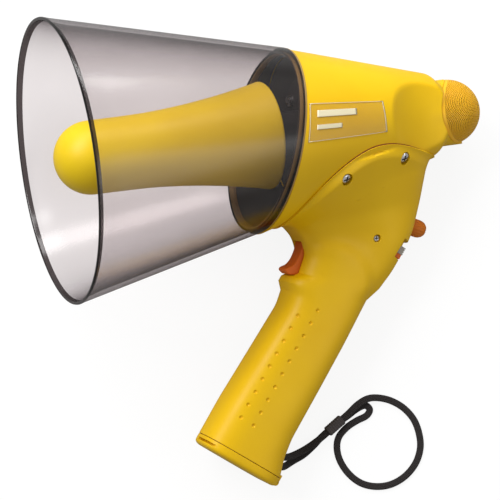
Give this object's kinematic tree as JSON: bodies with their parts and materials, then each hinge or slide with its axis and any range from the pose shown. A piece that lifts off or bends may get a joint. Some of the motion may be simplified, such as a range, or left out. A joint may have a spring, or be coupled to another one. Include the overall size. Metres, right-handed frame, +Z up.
{
  "type": "handheld megaphone",
  "caption": "Handheld megaphone with a clear tapered horn over a reflex cone, pistol grip with talk trigger, microphone barrel, volume knob, switch, battery cover and wrist strap.",
  "frame": {"origin": "middle of the base of the object's box, on the surface that it lies on, without its strap", "axes": "+Z up from the surface with the left side up, mouth towards -X, foot of the grip towards -Y"},
  "size_m": [0.266, 0.2832, 0.1512],
  "materials": {
    "smoked_clear": "clear, smooth",
    "dark_rubber": "matt",
    "yellow_plastic": "satin",
    "dark_plastic": "matt",
    "screw_steel": "bright",
    "magnet_steel": "plain",
    "diaphragm_film": "film",
    "mic_foam": "open foam",
    "board_green": "laminate",
    "part_black": "matt",
    "clear_label": "clear film",
    "orange_plastic": "satin",
    "cell_jacket": "wrapped",
    "strap_weave": "woven",
    "slider_plastic": "ribbed"
  },
  "bodies": {
    "body": {"clear_horn": "smoked_clear", "joint_gasket": "dark_rubber", "reflex_cone": "yellow_plastic", "sound_tube": "dark_plastic", "throat_baffle": "dark_plastic", "baffle_screws": "screw_steel", "driver_frame": "dark_plastic", "driver_magnet": "magnet_steel", "driver_diaphragm": "diaphragm_film", "rear_housing": "yellow_plastic", "mic_grille": "yellow_plastic", "mic_foam": "mic_foam", "mic_capsule": "magnet_steel", "mic_holder": "dark_plastic", "amp_board": "board_green", "board_parts": "part_black", "name_plate": "clear_label", "handle_left": "yellow_plastic", "handle_right": "yellow_plastic", "flange_screws": "screw_steel", "shell_screws": "screw_steel", "trigger_spring": "magnet_steel", "talk_switch": "part_black", "volume_pot": "part_black", "switch_body": "part_black", "battery_cells": "cell_jacket", "upper_contacts": "magnet_steel", "hinge_pin": "magnet_steel", "strap_bar": "magnet_steel", "wrist_strap": "strap_weave", "strap_slider": "slider_plastic"},
    "trigger": {"trigger": "orange_plastic"},
    "volume_knob": {"volume_knob": "orange_plastic", "pot_shaft": "magnet_steel"},
    "switch_lever": {"switch_lever": "orange_plastic"},
    "battery_cover": {"battery_cover": "yellow_plastic", "lower_contacts": "magnet_steel", "cell_springs": "magnet_steel"}
  },
  "joints": [
    {"name": "trigger_pull", "type": "slide", "parent": "body", "child": "trigger", "axis": [0.9448, -0.1946, -0.2638], "range_m": [0, 0.0035], "stiffness_N_per_m": 900, "springref_m": -0.002, "deforming": ["trigger_spring"]},
    {"name": "volume_turn", "type": "hinge", "parent": "body", "child": "volume_knob", "pos_m": [0.07972, -0.00251, 0.01746], "axis": [0.862, -0.4124, -0.2946], "range_deg": [0, 280]},
    {"name": "switch_slide", "type": "slide", "parent": "body", "child": "switch_lever", "axis": [0.6386, 0.769, 0.0283], "range_m": [0, 0.004]},
    {"name": "cover_swing", "type": "hinge", "parent": "body", "child": "battery_cover", "pos_m": [-0.02679, -0.12975, 0.01297], "axis": [0.2205, -0.2181, 0.9507], "range_deg": [0, 100]}
  ]
}
